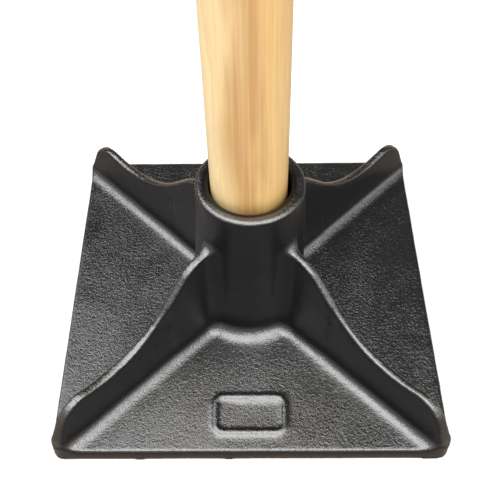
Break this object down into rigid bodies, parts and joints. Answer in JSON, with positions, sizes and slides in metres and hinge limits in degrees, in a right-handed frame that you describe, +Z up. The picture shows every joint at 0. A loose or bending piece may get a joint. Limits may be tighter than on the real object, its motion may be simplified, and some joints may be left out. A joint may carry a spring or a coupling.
{
  "type": "hand tamper",
  "caption": "Hand tamper: square black cast-iron head with a round socket and diagonal ribs, on a straight varnished wood handle wedged in from below.",
  "frame": {"origin": "centre of the sole, the flat underside of the head that rests on the ground", "axes": "+Z up along the handle; the panel of the plate with the raised blank mark faces -Y; X runs along the plate's front edge"},
  "size_m": [0.2032, 0.2032, 1.0688],
  "materials": {
    "black_painted_iron": "semi-gloss black paint over a sand-cast surface",
    "varnished_wood": "clear varnish over pale straight-grained hardwood",
    "wedge_wood": "bare sawn hardwood",
    "wedge_steel": "plain rolled steel"
  },
  "bodies": {
    "root": {"tamper_head": "black_painted_iron", "handle": "varnished_wood", "wood_wedge": "wedge_wood", "steel_wedge": "wedge_steel"}
  },
  "joints": []
}
